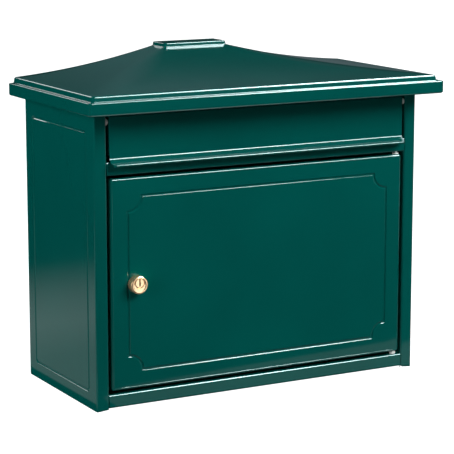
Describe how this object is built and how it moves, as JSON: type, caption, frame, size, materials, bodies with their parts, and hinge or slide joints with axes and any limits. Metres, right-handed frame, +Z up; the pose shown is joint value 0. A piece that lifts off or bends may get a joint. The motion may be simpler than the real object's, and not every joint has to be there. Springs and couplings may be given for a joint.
{
  "type": "wall mounted mailbox",
  "caption": "Sheet-metal wall mailbox with a hood roof, a lift-up letter flap over a slot, and a hinged collection door closed by a cam lock.",
  "frame": {"origin": "centre of the four wall-fixing holes, on the wall plane at the outer face of the back panel", "axes": "+X to the right as seen from the front, +Y into the wall, +Z up; the front faces -Y"},
  "size_m": [0.41, 0.2, 0.35],
  "materials": {
    "green_powder_coat": "gloss",
    "zinc_plated_steel": "satin",
    "lock_brass": "polished",
    "white_nylon": "matt",
    "black_rubber": "matt"
  },
  "bodies": {
    "casing": {"right_side_panel": "green_powder_coat", "left_side_panel": "green_powder_coat", "right_door_stop": "green_powder_coat", "left_door_stop": "green_powder_coat", "back_panel": "green_powder_coat", "bottom_panel": "green_powder_coat", "slot_rail": "green_powder_coat", "roof_ceiling_plate": "green_powder_coat", "roof_hood": "green_powder_coat", "roof_screws": "zinc_plated_steel", "roof_nuts": "zinc_plated_steel", "upper_door_pin": "zinc_plated_steel", "lower_door_pin": "zinc_plated_steel", "left_flap_bush": "white_nylon", "right_flap_bush": "white_nylon", "door_buffers": "black_rubber", "flap_buffers": "black_rubber"},
    "door": {"door_panel": "green_powder_coat", "upper_door_bush": "white_nylon", "lower_door_bush": "white_nylon", "lock_housing": "lock_brass", "lock_washer": "zinc_plated_steel", "lock_nut": "zinc_plated_steel"},
    "lock_cylinder": {"lock_plug": "lock_brass", "lock_cam": "zinc_plated_steel", "cam_washer": "zinc_plated_steel", "cam_screw": "zinc_plated_steel"},
    "flap": {"flap_panel": "green_powder_coat", "left_flap_pin": "zinc_plated_steel", "right_flap_pin": "zinc_plated_steel"}
  },
  "joints": [
    {"name": "door_hinge", "type": "hinge", "parent": "casing", "child": "door", "pos_m": [0.1665, -0.167, 0], "axis": [0, 0, 1], "range_deg": [0, 110]},
    {"name": "flap_pivot", "type": "hinge", "parent": "casing", "child": "flap", "pos_m": [0, -0.1675, 0.136], "axis": [-1, 0, 0], "range_deg": [0, 80]},
    {"name": "lock_turn", "type": "hinge", "parent": "door", "child": "lock_cylinder", "pos_m": [-0.1433, -0.16, -0.0258], "axis": [0, 1, 0], "range_deg": [0, 90]}
  ]
}
